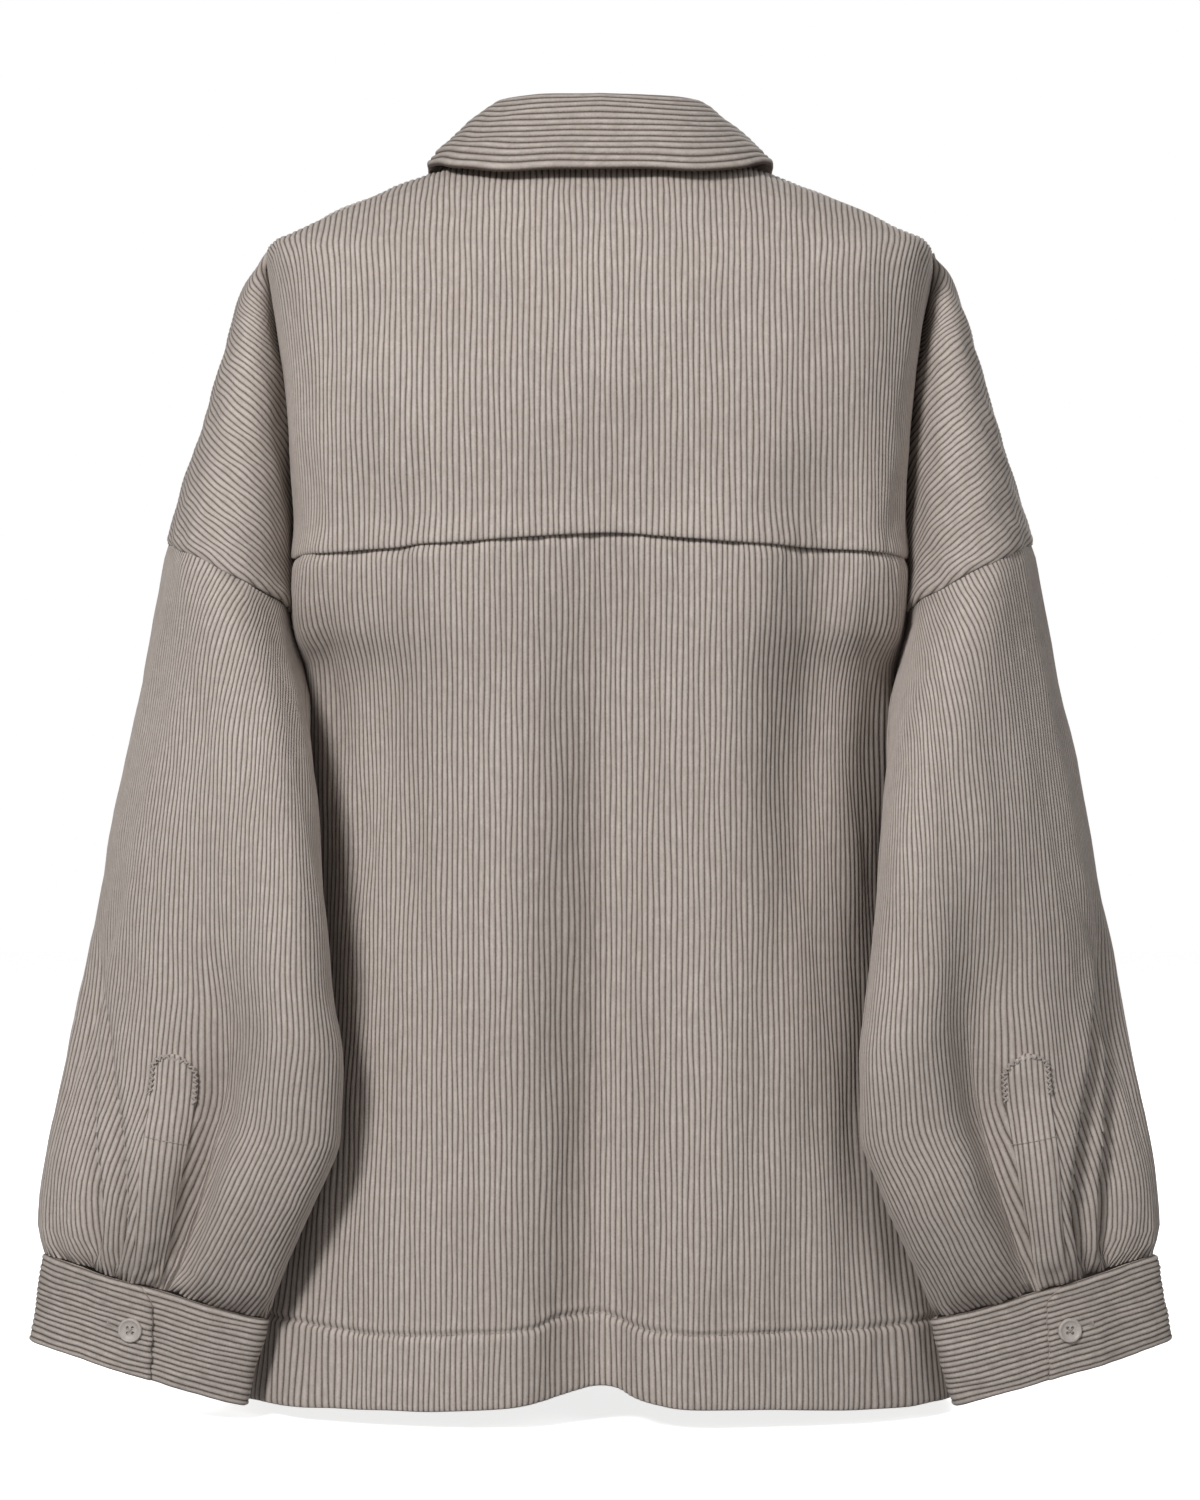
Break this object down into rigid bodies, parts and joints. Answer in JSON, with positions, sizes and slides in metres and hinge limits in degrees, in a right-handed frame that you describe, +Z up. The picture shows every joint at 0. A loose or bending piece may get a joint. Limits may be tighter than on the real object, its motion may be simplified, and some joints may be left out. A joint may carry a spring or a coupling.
{
  "type": "shacket",
  "caption": "Boxy drop-shoulder corduroy overshirt with a deep back yoke, collar, full pleated sleeves, buttoned cuffs and a deep hem, filled out as if worn.",
  "frame": {"origin": "midway between the two points where the shoulders meet the neck, where a wearer's shoulders carry the garment", "axes": "+Z up; the back faces -Y and the buttoned front faces +Y; the wearer's left arm is at -X"},
  "size_m": [0.6942, 0.2731, 0.7984],
  "materials": {
    "corduroy": "wide-wale cotton corduroy with a soft brushed pile, greige",
    "button_shell": "matt moulded plastic with four holes, greige"
  },
  "bodies": {
    "root": {"back_yoke": "corduroy", "back_panel": "corduroy", "front_left": "corduroy", "front_right": "corduroy", "front_placket": "corduroy", "collar_stand": "corduroy", "collar_leaf": "corduroy", "sleeve_left": "corduroy", "sleeve_right": "corduroy", "sleeve_placket_left": "corduroy", "sleeve_placket_right": "corduroy", "cuff_left": "corduroy", "cuff_right": "corduroy", "cuff_button_left": "button_shell", "cuff_button_right": "button_shell", "front_button_1": "button_shell", "front_button_2": "button_shell", "front_button_3": "button_shell", "front_button_4": "button_shell", "front_button_5": "button_shell", "front_button_6": "button_shell"}
  },
  "joints": []
}
